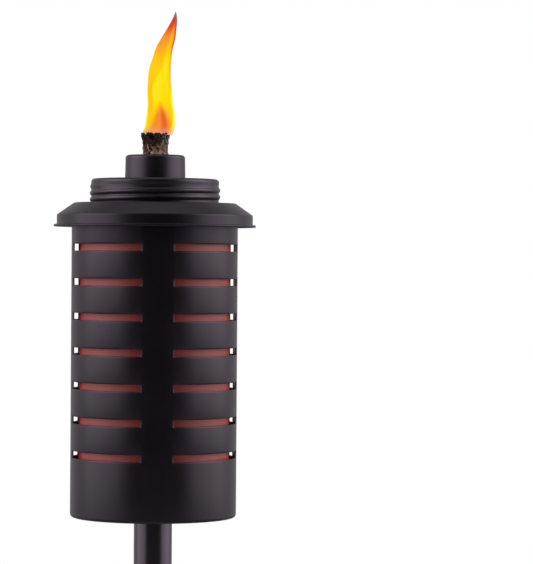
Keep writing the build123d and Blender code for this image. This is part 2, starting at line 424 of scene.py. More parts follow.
# %% Dress the metal pieces
DRESS = {
    head_coating: ("shell_base", "stem_flange"),
    cap_coating: ("burner_cap",),
    pole_coating: ("head_stem", "pole_upper", "pole_middle", "pole_lower", "ground_spike"),
    red_lacquer: ("canister_body", "canister_bottom", "canister_top"),
    tin_plate: ("canister_neck", "burner_plate", "wick_tube"),
    zinc_plate: ("stem_screws", "stem_washers", "stem_nuts", "spike_pin"),
    moulded_rubber: ("cap_gasket",),
}


def dress(node, finish):
    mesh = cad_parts[node].data
    mesh.materials.clear()
    mesh.materials.append(finish)


for finish, nodes in DRESS.items():
    for node in nodes:
        dress(node, finish)
print("dressed", sum(len(nodes) for nodes in DRESS.values()), "metal pieces")

# %% [markdown]
# ## Tools for pieces made here
# A made piece is a plain list of points and faces, so its shape is exactly what the formula says.
# One helper turns the lists into an object that wears a finish and rides on its body.

# %% Piece helper


def add_piece(name, points, faces, finish, body, slot, sharp=40):
    """A mesh object from points and faces, smooth but for edges sharper than the given degrees."""
    mesh = bpy.data.meshes.new(name)
    mesh.from_pydata(points, [], faces)
    mesh.validate()
    mesh.shade_smooth()
    mesh.set_sharp_from_angle(angle=radians(sharp))
    mesh.materials.append(finish)
    piece = bpy.data.objects.new(name, mesh)
    bpy.context.scene.collection.objects.link(piece)
    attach(piece, body)
    return piece


print("piece helper ready")

# %% [markdown]
# ## The slotted shell
# The shell is a drawn can, punched with rows of long level slots and coated afterwards. A punch
# pulls the sheet inwards round each slot, so the edges roll in softly and catch a line of light.
# The shell is laid out as a flat grid of angles and heights with the slots left out, then rolled
# into a tube and given its thickness by Solidify and its broken edges by Bevel. Grid lines exactly
# on the slot edges keep the slots true, which cutting a finished tube with booleans doesn't.

# %% Slot layout
SHEET = 0.8 * MM
SLOT_ROWS = 7
SLOTS_PER_ROW = 4
SLOT_HEIGHT = 4.5 * MM
SLOT_CORNER = 0.6 * MM
STRIP_ANGLE = radians(22.5)
SLOT_TURN = radians(2.4)
TOP_BAND = 13.6 * MM
BOTTOM_BAND = 42 * MM
SHELL_CORNER = 2.2 * MM
SHELL_TURN_IN = 4 * MM
ROLL_IN_WIDTH = 1.1 * MM
ROLL_IN_DEPTH = 0.42 * MM
ROLL_IN_LINES = (0.28 * MM, 0.62 * MM, ROLL_IN_WIDTH)

shell_radius = radius_of("slotted_shell")
shell_foot = bottom_of("slotted_shell")
slot_pitch = (lip_foot - shell_foot - TOP_BAND - BOTTOM_BAND) / (SLOT_ROWS - 1)
slot_middles = [lip_foot - TOP_BAND - row * slot_pitch for row in range(SLOT_ROWS)]
slot_angle = tau / SLOTS_PER_ROW - STRIP_ANGLE
first_slot = SLOT_TURN - pi / 2 + STRIP_ANGLE / 2
slot_starts = [first_slot + number * tau / SLOTS_PER_ROW for number in range(SLOTS_PER_ROW)]
print("slots every", round(slot_pitch / MM, 2), "mm")

# %% [markdown]
# The grid's columns crowd together beside the slots, where the sheet rolls in, and its rows do the
# same above and below them. Each column and each row carries a word for what it crosses.

# %% Slot grid
SLOT_COLUMNS = 30
STRIP_COLUMNS = 8
ARC_ROWS = 8


def spread(start, end, count):
    """Evenly spaced values from start up to, but without, end."""
    return [start + (end - start) * step / count for step in range(count)]


def slot_angles():
    """The angles of the grid's columns, and a list that says which columns lie in a slot."""
    corner = SLOT_CORNER / shell_radius
    lines = [offset / shell_radius for offset in ROLL_IN_LINES]
    angles, inside = [], []
    for start in slot_starts:
        end = start + slot_angle
        angles += [start] + spread(start + corner, end - corner, SLOT_COLUMNS) + [end - corner]
        inside += ["start"] + ["middle"] * SLOT_COLUMNS + ["end"]
        strip = [end] + [end + line for line in lines]
        strip += spread(end + lines[-1], end + STRIP_ANGLE - lines[-1], STRIP_COLUMNS)[1:]
        strip += [end + STRIP_ANGLE - line for line in reversed(lines)]
        angles += strip
        inside += ["strip"] * len(strip)
    return angles, inside


def slot_levels():
    """The (radius, height) rows from the top to the turned-in foot, and which rows lie in a slot."""
    levels, inside = [(shell_radius, top_of("slotted_shell"))], ["band"]
    for middle in slot_middles:
        high, low = middle + SLOT_HEIGHT / 2, middle - SLOT_HEIGHT / 2
        above = [high + line for line in reversed(ROLL_IN_LINES)]
        below = [low - line for line in ROLL_IN_LINES]
        heights = above + [high, high - SLOT_CORNER, low + SLOT_CORNER, low] + below
        levels += [(shell_radius, height) for height in heights]
        inside += ["band"] * len(above) + ["top", "middle", "bottom"] + ["band"] * (1 + len(below))
    corner = (shell_radius - SHELL_CORNER, shell_foot + SHELL_CORNER)
    for step in range(ARC_ROWS + 1):
        turn = pi / 2 * step / ARC_ROWS
        levels.append((corner[0] + SHELL_CORNER * cos(turn), corner[1] - SHELL_CORNER * sin(turn)))
    levels.append((shell_radius - SHELL_TURN_IN, shell_foot))
    return levels, inside + ["band"] * (ARC_ROWS + 1)


print("grid", len(slot_angles()[0]), "columns", len(slot_levels()[0]), "rows")

# %% [markdown]
# Each corner of a slot is filled with a small fan that ends in a quarter circle, because a punch
# has rounded corners. The roll-in follows the distance to the nearest slot, which for a rectangle
# with rounded corners is a short formula.

# %% Slot edges and corners
CORNER_SPOKES = 4


def roll_in(place, height):
    """How far the punch has pulled the sheet inwards at a place round the shell and a height."""
    middle = min(slot_middles, key=lambda candidate: abs(candidate - height))
    best = ROLL_IN_WIDTH
    for start in slot_starts:
        half = slot_angle * shell_radius / 2
        centre = start * shell_radius + half
        around = (place - centre + pi * shell_radius) % (tau * shell_radius) - pi * shell_radius
        across = abs(around) - half + SLOT_CORNER
        up = abs(height - middle) - SLOT_HEIGHT / 2 + SLOT_CORNER
        outside = hypot(max(across, 0), max(up, 0)) + min(max(across, up), 0) - SLOT_CORNER
        best = min(best, max(outside, 0))
    return ROLL_IN_DEPTH * (1 - best / ROLL_IN_WIDTH) ** 2


def corner_fan(points, corner, start, end, middle):
    """Faces that fill a slot's corner up to a quarter circle from start to end about middle."""
    spokes = [start]
    for step in range(1, CORNER_SPOKES):
        turn = pi / 2 * step / CORNER_SPOKES
        place = middle + (points[start] - middle) * cos(turn) + (points[end] - middle) * sin(turn)
        points.append(place)
        spokes.append(len(points) - 1)
    spokes.append(end)
    return [(corner, here, there) for here, there in zip(spokes, spokes[1:])]


edge_roll = roll_in(slot_starts[0] * shell_radius, slot_middles[0])
print("sheet pulled in by", round(edge_roll / MM, 2), "mm at a slot's edge")

# %% [markdown]
# The sheet is made flat first: a point is its place round the shell, its radius and its height.
# A face is left out where a slot's column meets a slot's row, and the last loop rolls the rest up.

# %% Slotted sheet


def slotted_sheet():
    """Points and faces of the shell's outer face, slots and turned-in foot included."""
    angles, across = slot_angles()
    levels, down = slot_levels()
    columns = len(angles)
    points = []
    for radius, height in levels:
        points += [Vector((angle * shell_radius, radius, height)) for angle in angles]
    turns = {("top", "start"): 0, ("bottom", "start"): 1, ("bottom", "end"): 2, ("top", "end"): 3}
    faces = []
    for row, part in enumerate(down):
        for column, place in enumerate(across):
            after = (column + 1) % columns
            high, low = row * columns, (row + 1) * columns
            quad = (high + column, low + column, low + after, high + after)
            if part == "band" or place == "strip":
                faces.append(quad)
            elif (part, place) in turns:
                turn = turns[part, place]
                corner, start, middle, end = quad[turn:] + quad[:turn]
                faces += corner_fan(points, corner, start, end, points[middle])
    used = sorted({index for face in faces for index in face})
    number = {index: count for count, index in enumerate(used)}
    rolled = []
    for place, radius, height in (points[index] for index in used):
        angle, reach = place / shell_radius, radius - roll_in(place, height)
        rolled.append((reach * cos(angle), reach * sin(angle), height))
    return rolled, [tuple(number[index] for index in face) for face in faces]


shell_mesh = slotted_sheet()
print("shell", len(shell_mesh[1]), "faces before thickness")

# %% [markdown]
# Solidify grows the thickness inwards from the outer face, so the shell keeps its radius. Bevel then
# breaks the edges of the slots and of the foot, which a coating always rounds.

# %% Shell piece
SHELL_EDGE = 0.14 * MM
EDGE_LIMIT = radians(50)


def soften(piece, thickness, bevel):
    """Thickness inwards, then a narrow bevel along every hard edge."""
    solid = piece.modifiers.new("thickness", "SOLIDIFY")
    solid.thickness = thickness
    solid.offset = -1
    solid.use_even_offset = True
    edges = piece.modifiers.new("edges", "BEVEL")
    edges.width = bevel
    edges.segments = 2
    edges.limit_method = "ANGLE"
    edges.angle_limit = EDGE_LIMIT
    edges.harden_normals = True


punched_shell = add_piece("punched_shell", *shell_mesh, head_coating, "head", "black_coating")
soften(punched_shell, SHEET, SHELL_EDGE)
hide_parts("slotted_shell")
print("shell modifiers", [modifier.name for modifier in punched_shell.modifiers])

# %% [markdown]
# ## A tool for pressed and turned pieces
# Whatever is pressed, spun or turned has one outline all the way round. Two helpers serve for that:
# one rounds the corners of an outline, and one carries a closed outline round the torch's axis.

# %% Turned sections


def carry_round(section, steps):
    """Points and faces of a closed (radius, height) section, which may change with the angle."""
    points = []
    for step in range(steps):
        angle = tau * step / steps
        for radius, height in section(angle):
            points.append((radius * cos(angle), radius * sin(angle), height))
    count = len(points) // steps
    faces = []
    for step in range(steps):
        here = step * count
        there = (step + 1) % steps * count
        for index in range(count):
            after = (index + 1) % count
            faces.append((here + index, here + after, there + after, there + index))
    return points, faces


def rounded_path(corners, bends, arc_steps=8, run_step=None):
    """Points along a (radius, height) path whose inner corners are rounded to the given bends."""
    path = [Vector(corners[0])]
    for corner, before, after, bend in zip(corners[1:-1], corners, corners[2:], bends):
        corner = Vector(corner)
        back, on = Vector(before) - corner, Vector(after) - corner
        half = back.angle(on) / 2
        reach = bend / abs(sin(half)) * cos(half)
        start = corner + back.normalized() * reach
        end = corner + on.normalized() * reach
        centre = corner + (back.normalized() + on.normalized()).normalized() * (bend / sin(half))
        for step in range(arc_steps + 1):
            spoke = (start - centre).lerp(end - centre, step / arc_steps)
            path.append(centre + spoke.normalized() * bend)
    path.append(Vector(corners[-1]))
    if run_step is None:
        return path
    filled = [path[0]]
    for point in path[1:]:
        pieces = max(1, round((point - filled[-1]).length / run_step))
        origin = filled[-1]
        filled += [origin.lerp(point, (step + 1) / pieces) for step in range(pieces)]
    return filled


print("turning helpers ready")

# %% [markdown]
# ## The pressed cover
# The cover is one sheet: a level crown, a sloping shoulder, an upright rim and, at the foot, a lip
# turned outwards whose edge is rolled into a bead. The bead stiffens the thin sheet and hides its
# cut edge. A section carried round the axis gives all of it, bead included.

# %% Pressed cover
COVER_HOLE = 42 * MM
COVER_CROWN_RADIUS = 53.5 * MM
COVER_RIM_HEIGHT = 8 * MM
LIP_WIDTH = 2.1 * MM
BEAD_RADIUS = 0.85 * MM
COVER_BENDS = (2.6 * MM, 1.6 * MM, 0.5 * MM)
COVER_INNER_BENDS = (1.8 * MM, 0.8 * MM, 0.4 * MM)
COVER_STEPS = 240
CROWN_BEND_SHIFT = 0.3 * SHEET
RIM_BEND_SHIFT = 0.4 * SHEET
BEAD_STEPS = 20
BEAD_TURN = radians(13)

crown = top_of("canister_cover")
lip_radius = radius_of("canister_cover")
rim_radius = lip_radius - LIP_WIDTH


def cover_section(angle):
    """The cover's outline: over the crown and down the rim, round the bead and back inside.

    At the two bends the inner corner moves in by less than the sheet, as it does in a real bend.
    """
    bead_top = lip_foot + 2 * BEAD_RADIUS
    bead_middle = (lip_radius - BEAD_RADIUS, lip_foot + BEAD_RADIUS)
    corners = [
        (COVER_HOLE, crown),
        (COVER_CROWN_RADIUS, crown),
        (rim_radius, lip_foot + COVER_RIM_HEIGHT),
        (rim_radius, bead_top),
        (bead_middle[0], bead_top),
    ]
    outside = rounded_path(corners, COVER_BENDS)
    inner_corners = [
        (COVER_HOLE, crown - SHEET),
        (COVER_CROWN_RADIUS - CROWN_BEND_SHIFT, crown - SHEET),
        (rim_radius - SHEET, lip_foot + COVER_RIM_HEIGHT - RIM_BEND_SHIFT),
        (rim_radius - SHEET, lip_foot + BEAD_RADIUS),
        (bead_middle[0] - 0.9 * BEAD_RADIUS, lip_foot + BEAD_RADIUS),
    ]
    inside = rounded_path(inner_corners, COVER_INNER_BENDS)
    bead = []
    for step in range(1, BEAD_STEPS):
        turn = pi / 2 - BEAD_TURN * step
        bead.append((bead_middle[0] + BEAD_RADIUS * cos(turn), bead_middle[1] + BEAD_RADIUS * sin(turn)))
    return [tuple(point) for point in outside] + bead + [tuple(point) for point in inside[::-1]]


cover_mesh = carry_round(cover_section, COVER_STEPS)
pressed_cover = add_piece("pressed_cover", *cover_mesh, head_coating, "canister", "black_coating")
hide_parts("canister_cover")
print("cover", len(cover_mesh[1]), "faces")

# %% [markdown]
# ## The screw cap's rolled thread
# The cap is a band of thin sheet with a top, and its thread is rolled into the sheet: outside it
# stands out as a soft ridge that climbs to the right, inside it leaves the matching groove. A true
# helix is easy on a grid that knows each point's angle and height: the ridge is a raised cosine
# around the nearest turn, and it fades out at both ends as the roller lifts.

# %% Rolled thread
THREAD_PITCH = 4.3 * MM
THREAD_DEPTH = 1.05 * MM
THREAD_DROP = 7.4 * MM
THREAD_TURNS = (-1.8, 0.62)
THREAD_FADE = 0.15
CREST_FULLNESS = 0.7


def thread_rise(angle, height):
    """How far the rolled ridge stands out of the band at an angle and a height."""
    climbed = (height - cap_top + THREAD_DROP) / THREAD_PITCH - angle / tau
    nearest = round(climbed)
    along = nearest + angle / tau
    low, high = THREAD_TURNS
    fade = min((along - low) / THREAD_FADE, (high - along) / THREAD_FADE, 1)
    return THREAD_DEPTH * max(fade, 0) * (0.5 + 0.5 * cos(tau * (climbed - nearest))) ** CREST_FULLNESS


first_ridge = max(thread_rise(0, cap_top - drop * 0.1 * MM) for drop in range(150))
print("thread stands out by", round(first_ridge / MM, 2), "mm")

# %% [markdown]
# The cap is an outline with a thickness, whose skirt swells by the thread and draws in to a slight
# waist. The skirt ends just over the cover's crown, which hides the bare neck when it is closed.

# %% Screw cap
BAND_WAIST = 0.3 * MM
CAP_SHEET = 0.7 * MM
CAP_CORNER = 2.2 * MM
CAP_HOLE = 20.35 * MM
CAP_CLEAR = 0.15 * MM
CAP_STEPS = 240
CAP_ROW = 0.3 * MM
SWELL_START = 2 * MM


def thick_section(path, thickness):
    """A closed section: the path, then back along its right-hand side at the thickness."""
    inner = []
    for index, point in enumerate(path):
        run = path[min(index + 1, len(path) - 1)] - path[max(index - 1, 0)]
        side = Vector((run.y, -run.x)).normalized()
        inner.append(point + side * thickness)
    return path, inner[::-1]


def cap_section(angle):
    """The cap's sheet at one angle: hole, level top, rounded corner and the threaded skirt."""
    corners = [(CAP_HOLE, cap_top), (cap_radius, cap_top), (cap_radius, crown + CAP_CLEAR)]
    path = rounded_path(corners, [CAP_CORNER], run_step=CAP_ROW)
    outside, inside = thick_section(path, CAP_SHEET)
    skirt_top = cap_top - CAP_CORNER
    section = []
    for point in outside + inside:
        depth = min(max((skirt_top - point.y) / SWELL_START, 0), 1)
        swell = thread_rise(angle, point.y) - BAND_WAIST * 0.5 * (1 - cos(pi * depth)) * 0.5
        section.append((point.x + swell * depth, point.y))
    return section


cap_mesh = carry_round(cap_section, CAP_STEPS)
threaded_cap = add_piece("threaded_cap", *cap_mesh, cap_coating, "cap", "black_coating")
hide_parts("screw_cap")
print("threaded cap", len(cap_mesh[0]), "points")

# %% [markdown]
# ## The wick's braid
# A torch wick is a round braid: half of the strands climb to the right, half to the left, and each
# passes over one and under the next. On a cylinder the crossings fall in level rows, so both
# families share one wave in and out of the surface, with opposite signs. Each strand is a flat
# bundle of three yarns, so its section has three ridges. Only the upper end is ever seen, so the
# braid stops inside the boss and a plain core carries on down to the fuel.

# %% Wick strands
STRANDS_EACH_WAY = 11
STRAND_LEAN = radians(31)
STRAND_HALF_WIDTH = 1.9 * MM
STRAND_HALF_DEPTH = 0.5 * MM
STRAND_WAVE = 0.36 * MM
YARN_RIDGE = 0.45
BRAID_RADIUS = 7.75 * MM
WICK_FLARE = 1.9 * MM
FLARE_BEND = 3.6
BRAID_BELOW_BOSS = 14 * MM
STRAND_STEP = 0.4 * MM
STRAND_TAPER = 1.5 * MM
TAPER_LOSS = 0.4
STRAND_WEAR = 0.1
AGE_DRIFT = 0.5
STRAND_SAG = 0.12
YARN_AGES = (0.0, 0.25, 0.6, 0.9)
SECTION_POINTS = 20

dice = random.Random(7)
braid_low = boss_top - BRAID_BELOW_BOSS
braid_twist = sin(STRAND_LEAN) / cos(STRAND_LEAN) / BRAID_RADIUS
row_height = pi / (STRANDS_EACH_WAY * braid_twist)
print("braid rows every", round(row_height / MM, 2), "mm")

# %% [markdown]
# A strand's section is a ring of twenty points, flat, with three ridges, one for each yarn. It lies
# square to the strand's lean, and the burnt end opens outwards near its top.

# %% Strand section


def wick_flare(height):
    """How much wider the burnt end has opened, at a height."""
    share = min(max((height - boss_top) / (wick_top - boss_top), 0), 1)
    return WICK_FLARE * share ** FLARE_BEND


def strand_section(height, way, angle, radius, thin):
    """The ring of points round one strand at one height."""
    ring = []
    for index in range(SECTION_POINTS):
        turn = tau * index / SECTION_POINTS
        ridge = 1 - YARN_RIDGE * (0.5 + 0.5 * cos(3 * pi * cos(turn) + pi))
        across = STRAND_HALF_WIDTH * cos(turn) * thin
        out = STRAND_HALF_DEPTH * sin(turn) * thin * ridge
        sag = STRAND_SAG * across * across / STRAND_HALF_WIDTH
        place = angle + across * cos(STRAND_LEAN) / radius
        reach = radius + out - sag
        ring.append((reach * cos(place), reach * sin(place), height - way * across * sin(STRAND_LEAN)))
    return ring


print("flare at the top", round(wick_flare(wick_top) / MM, 2), "mm")

# %% [markdown]
# The section is carried along the helix, in and out of the surface where strands cross. It thins
# and thickens a little by noise, and draws together over its last millimetre and a half.

# %% Strand mesh


def tube_faces(rings, count):
    """Faces between rings of points, closed at both ends."""
    faces = []
    for ring in range(rings - 1):
        here = ring * count
        for index in range(count):
            after = (index + 1) % count
            faces.append((here + index, here + after, here + count + after, here + count + index))
    faces.append(tuple(range(count))[::-1])
    faces.append(tuple((rings - 1) * count + index for index in range(count)))
    return faces


def strand(start, way, end_height):
    """Points, faces and yarn ages of one strand, its section carried along its helix over and under."""
    steps = int((end_height - braid_low) / STRAND_STEP)
    points, ages = [], []
    yarn_ages = [dice.choice(YARN_AGES) for _ in range(3)]
    for step in range(steps + 1):
        height = braid_low + (end_height - braid_low) * step / steps
        angle = start + way * braid_twist * (height - braid_low)
        wave = way * STRAND_WAVE * cos(pi * (height - braid_low) / row_height)
        radius = BRAID_RADIUS + wave + wick_flare(height)
        worn = 1 + STRAND_WEAR * noise.noise(Vector((start * 9, way * 5, height * 700)))
        thin = worn * (1 - TAPER_LOSS * max(0, 1 - (end_height - height) / STRAND_TAPER))
        points += strand_section(height, way, angle, radius, thin)
        drift = AGE_DRIFT * noise.noise(Vector((start * 5, way * 3, height * 260)))
        for index in range(SECTION_POINTS):
            yarn = min(int(1.5 + 1.5 * cos(tau * index / SECTION_POINTS)), 2)
            ages.append(yarn_ages[yarn] + drift)
    return points, tube_faces(steps + 1, SECTION_POINTS), ages


print("strand helpers ready")

# %% [markdown]
# ## Tools for masks and colour ramps
# Charring and the painted sheen on the wick's right side depend on several things at once, so their
# masks are sums. A ramp then turns a mask into colours, which suits anything that passes through a row of
# tones.

# %% Mask helpers


def sums(tree, offset, *terms):
    """An offset plus the sum of (socket, factor) terms."""
    total = None
    for socket, factor in terms:
        term = add_node(tree, "ShaderNodeMath", operation="MULTIPLY_ADD")
        term.inputs[1].default_value = factor
        term.inputs[2].default_value = offset
        join(tree, socket, term.inputs[0])
        if total is not None:
            join(tree, total, term.inputs[2])
        total = term.outputs[0]
    return total


def noise_at(tree, place, scale, detail, roughness):
    """A noise texture read at the object's own coordinates."""
    texture = add_node(tree, "ShaderNodeTexNoise", scale=scale, detail=detail, roughness=roughness)
    join(tree, place.outputs["Object"], texture.inputs["Vector"])
    return texture.outputs["Fac"]


def colour_ramp(tree, mask, stops):
    """A colour ramp through (position, colour) stops, read by a mask."""
    node = add_node(tree, "ShaderNodeValToRGB")
    ramp = node.color_ramp
    ramp.elements[0].color = (*stops[0][1], 1)
    ramp.elements[1].color = (*stops[-1][1], 1)
    for position, colour in stops[1:-1]:
        ramp.elements.new(position).color = (*colour, 1)
    join(tree, mask, node.inputs["Fac"])
    return node.outputs["Color"]


print("mask helpers ready")

# %% [markdown]
# ## Finish: burnt braid
# The braid is glass fibre with a cotton cover: tan where the flame hasn't reached, browned above
# that and black at the top. Its right side is painted greyer in flecks, a painted sheen of the light
# from the right. Each strand also has its own age, stored on its points, so clean and charred strands lie
# side by side.

# %% Burnt braid finish
BRAID_BROWN = (0.05, 0.03, 0.02)
BRAID_TONES = (
    (0.00, (0.66, 0.44, 0.29)),
    (0.25, (0.30, 0.17, 0.09)),
    (0.48, (0.07, 0.038, 0.02)),
    (1.00, (0.012, 0.008, 0.006)),
)
# painted sheen: the grey that the right-hand light lays on the wick's right side
BRAID_SHEEN_GREY = (0.32, 0.33, 0.30)
BURN_BELOW_BOSS = 2 * MM
BURN_BELOW_TOP = 3 * MM
CHAR_OFFSET = -0.72
CHAR_BY_HEIGHT, CHAR_BY_AGE, CHAR_BY_BLOT = 0.75, 0.6, 1.1
SHEEN_OFFSET = -2.85
SHEEN_BY_FLECK, SHEEN_TO_THE_RIGHT = 5.0, 90.0
BRAID_FUZZ = 0.25 * MM


def make_burnt_braid():
    finish, shader = new_finish("burnt_braid", BRAID_BROWN, roughness=0.9, level=0.25)
    tree = finish.node_tree
    place = add_node(tree, "ShaderNodeTexCoord")
    parts = add_node(tree, "ShaderNodeSeparateXYZ")
    join(tree, place.outputs["Object"], parts.inputs[0])
    burn = add_node(tree, "ShaderNodeMapRange")
    burn.inputs["From Min"].default_value = boss_top - BURN_BELOW_BOSS
    burn.inputs["From Max"].default_value = wick_top - BURN_BELOW_TOP
    join(tree, parts.outputs["Z"], burn.inputs["Value"])
    age = add_node(tree, "ShaderNodeAttribute", attribute_name="strand_age")
    blots = noise_at(tree, place, scale=380.0, detail=3.0, roughness=0.6)
    char_terms = [(burn.outputs["Result"], CHAR_BY_HEIGHT)]
    char_terms += [(age.outputs["Fac"], CHAR_BY_AGE), (blots, CHAR_BY_BLOT)]
    tones = colour_ramp(tree, sums(tree, CHAR_OFFSET, *char_terms), BRAID_TONES)
    # painted sheen: greyer towards the wick's right side, where the side light falls, broken into flecks
    flecks = noise_at(tree, place, scale=700.0, detail=3.0, roughness=0.7)
    sheen_terms = [(flecks, SHEEN_BY_FLECK), (parts.outputs["X"], SHEEN_TO_THE_RIGHT)]
    sheen_mask = add_node(tree, "ShaderNodeClamp")
    join(tree, sums(tree, SHEEN_OFFSET, *sheen_terms), sheen_mask.inputs[0])
    sheened_tones = two_tone(tree, tones, BRAID_SHEEN_GREY, sheen_mask.outputs[0])
    join(tree, sheened_tones, shader.inputs["Base Color"])
    fuzz = noise_at(tree, place, scale=3500.0, detail=3.0, roughness=0.6)
    raise_bump(tree, shader, fuzz, strength=0.7, distance=BRAID_FUZZ)
    return finish


burnt_braid = make_burnt_braid()
print("finish", burnt_braid.name)

# %% [markdown]
# The strands are joined in one mesh, because they are one braid and wear one finish. Their upper
# ends stop at slightly different heights, as burnt ends do.

# %% Braid
END_DROP_MM = (0.1, 0.8)


def join_lists(parts):
    """Several lists of points and faces as one, with the faces' numbers moved on."""
    points, faces = [], []
    for part_points, part_faces in parts:
        offset = len(points)
        points += part_points
        faces += [tuple(offset + index for index in face) for face in part_faces]
    return points, faces


def store(piece, name, values):
    """One number for every point of a piece, under a name that a finish can read."""
    layer = piece.data.attributes.new(name, "FLOAT", "POINT")
    layer.data.foreach_set("value", values)


strands, ages = [], []
for number in range(STRANDS_EACH_WAY):
    for way in (1, -1):
        start = tau * number / STRANDS_EACH_WAY
        points, faces, yarn_ages = strand(start, way, wick_top - dice.uniform(*END_DROP_MM) * MM)
        strands.append((points, faces))
        ages += yarn_ages
braid_points, braid_faces = join_lists(strands)
wick_braid = add_piece(
    "wick_braid", braid_points, braid_faces, burnt_braid, "wick_and_flame", "wick_fibre", sharp=80
)
store(wick_braid, "strand_age", ages)
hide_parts("wick")
print("braid", len(strands), "strands", len(braid_points), "points")

# %% [markdown]
# ## The wick's core and burnt crown
# Inside the braid is a core of straight yarn. Down in the canister it is a plain soaked rope, so a
# turned shape with a little waviness does.

# %% Wick core
CORE_RADIUS = 7.5 * MM
CORE_DROP = 2.2 * MM
CORE_LEVELS = 60
CORE_STEPS = 72
CORE_LOBES = 18
CORE_LOBE_DEPTH = 0.12 * MM
CORE_LOBE_TWIST = 40
CORE_FLARE_SHARE = 0.8
CHARRED = 0.8

wick_bottom = bottom_of("wick")


def core_section(angle):
    """A rope of yarn: the radius waves a little round the core and along it."""
    core_top = wick_top - CORE_DROP
    section = [(0.0, wick_bottom)]
    for step in range(CORE_LEVELS + 1):
        share = step / CORE_LEVELS
        height = wick_bottom + (core_top - wick_bottom) * share
        lobes = CORE_LOBE_DEPTH * cos(CORE_LOBES * angle + CORE_LOBE_TWIST * share)
        section.append((CORE_RADIUS + lobes + CORE_FLARE_SHARE * wick_flare(height), height))
    section.append((0.0, core_top))
    return section


core_mesh = carry_round(core_section, CORE_STEPS)
wick_core = add_piece("wick_core", *core_mesh, burnt_braid, "wick_and_flame", "wick_fibre")
store(wick_core, "strand_age", [CHARRED] * len(core_mesh[0]))
print("wick core", len(core_mesh[0]), "points")

# %% [markdown]
# At the top the core is burnt to a crown: a lumpy disc whose height comes from noise, with big lumps
# and small ones on them. It drops steeply only at its rim, where the strands' ends cover it.

# %% Wick crown
CROWN_RINGS = 14
CROWN_STEPS = 96
CROWN_DROP = 0.9 * MM
CROWN_MIDDLE = 0.01
CROWN_LUMP_HEIGHT = 0.5
CROWN_LUMPS = ((420, 0.9), (1100, 0.5))
RIM_STEEPNESS = 6


def burnt_crown():
    """A lumpy burnt disc over the core, from its middle out to the strands' ends."""
    points, faces = [], []
    for ring_number in range(CROWN_RINGS + 1):
        share = ring_number / CROWN_RINGS
        for step in range(CROWN_STEPS):
            angle = tau * step / CROWN_STEPS
            radius = max(share, CROWN_MIDDLE) * (BRAID_RADIUS + WICK_FLARE)
            spot = Vector((radius * cos(angle), radius * sin(angle), 0))
            lumps = sum(depth * noise.noise(spot * fineness) for fineness, depth in CROWN_LUMPS)
            height = wick_top - CROWN_DROP * (1 + share ** RIM_STEEPNESS) + lumps * MM * CROWN_LUMP_HEIGHT
            points.append((spot.x, spot.y, height))
    for ring_number in range(CROWN_RINGS):
        here = ring_number * CROWN_STEPS
        for step in range(CROWN_STEPS):
            after = (step + 1) % CROWN_STEPS
            outer = here + CROWN_STEPS
            faces.append((here + step, outer + step, outer + after, here + after))
    faces.append(tuple(range(CROWN_STEPS))[::-1])
    return points, faces


crown_mesh = burnt_crown()
wick_crown = add_piece("wick_crown", *crown_mesh, burnt_braid, "wick_and_flame", "wick_fibre")
store(wick_crown, "strand_age", [CHARRED] * len(crown_mesh[0]))
print("wick crown", len(crown_mesh[0]), "points")

# %% [markdown]
# Loose fibres stand out of a burnt braid. Each is a hair-thin tapered tube with its own bend. They
# start near the top only, so that none is dragged into the tube when the wick is pushed down.

# %% Loose fibres
FIBRE_COUNT = 90
FIBRE_SEGMENTS = 6
FIBRE_CORNERS = 3
FIBRE_AGE = 0.3
FIBRE_START_MM = (0.5, 3.6)
FIBRE_LENGTH_MM = (0.8, 2.4)
FIBRE_THICKNESS_MM = (0.05, 0.09)
FIBRE_OUT = (0.25, 0.8)
FIBRE_LIFT = (-0.1, 1.0)
FIBRE_CURL = (-0.9, 0.9)
FIBRE_STRAIGHTENS = 0.35
FIBRE_TAPER = 0.85


def loose_fibre():
    """One fibre: it starts in the braid's burnt end, leans out and curls as it rises."""
    angle = dice.uniform(0, tau)
    height = wick_top - dice.uniform(*FIBRE_START_MM) * MM
    length = dice.uniform(*FIBRE_LENGTH_MM) * MM
    out = dice.uniform(*FIBRE_OUT)
    lift = dice.uniform(*FIBRE_LIFT)
    curl = dice.uniform(*FIBRE_CURL)
    thickness = dice.uniform(*FIBRE_THICKNESS_MM) * MM
    points = []
    for step in range(FIBRE_SEGMENTS + 1):
        share = step / FIBRE_SEGMENTS
        stand_off = out * length * (share - FIBRE_STRAIGHTENS * share ** 2)
        reach = BRAID_RADIUS + wick_flare(height) + stand_off
        bend = angle + curl * length * share ** 2 / reach
        rise = height + lift * length * share
        taper = thickness * (1 - FIBRE_TAPER * share)
        for corner in range(FIBRE_CORNERS):
            turn = tau * corner / FIBRE_CORNERS
            x, y = reach * cos(bend) + taper * cos(turn), reach * sin(bend) + taper * sin(turn)
            points.append((x, y, rise))
    return points, tube_faces(FIBRE_SEGMENTS + 1, FIBRE_CORNERS)


fibre_points, fibre_faces = join_lists([loose_fibre() for _ in range(FIBRE_COUNT)])
wick_fibres = add_piece(
    "wick_fibres", fibre_points, fibre_faces, burnt_braid, "wick_and_flame", "wick_fibre", sharp=180
)
store(wick_fibres, "strand_age", [FIBRE_AGE] * len(fibre_points))
print("loose fibres", FIBRE_COUNT)

# %% [markdown]
# ## The flame
# A wick flame is one smooth tongue that leans as it rises and ends in a thin tip. Its two edges are
# drawn as smooth curves through a few points, and every level slice between them is an oval with a
# slight twist. Real fire has no surface, so the colour does the work: each point stores how hot it
# is, from that a colour ramp gives mauve, red, orange and yellow, and the piece shines by itself.

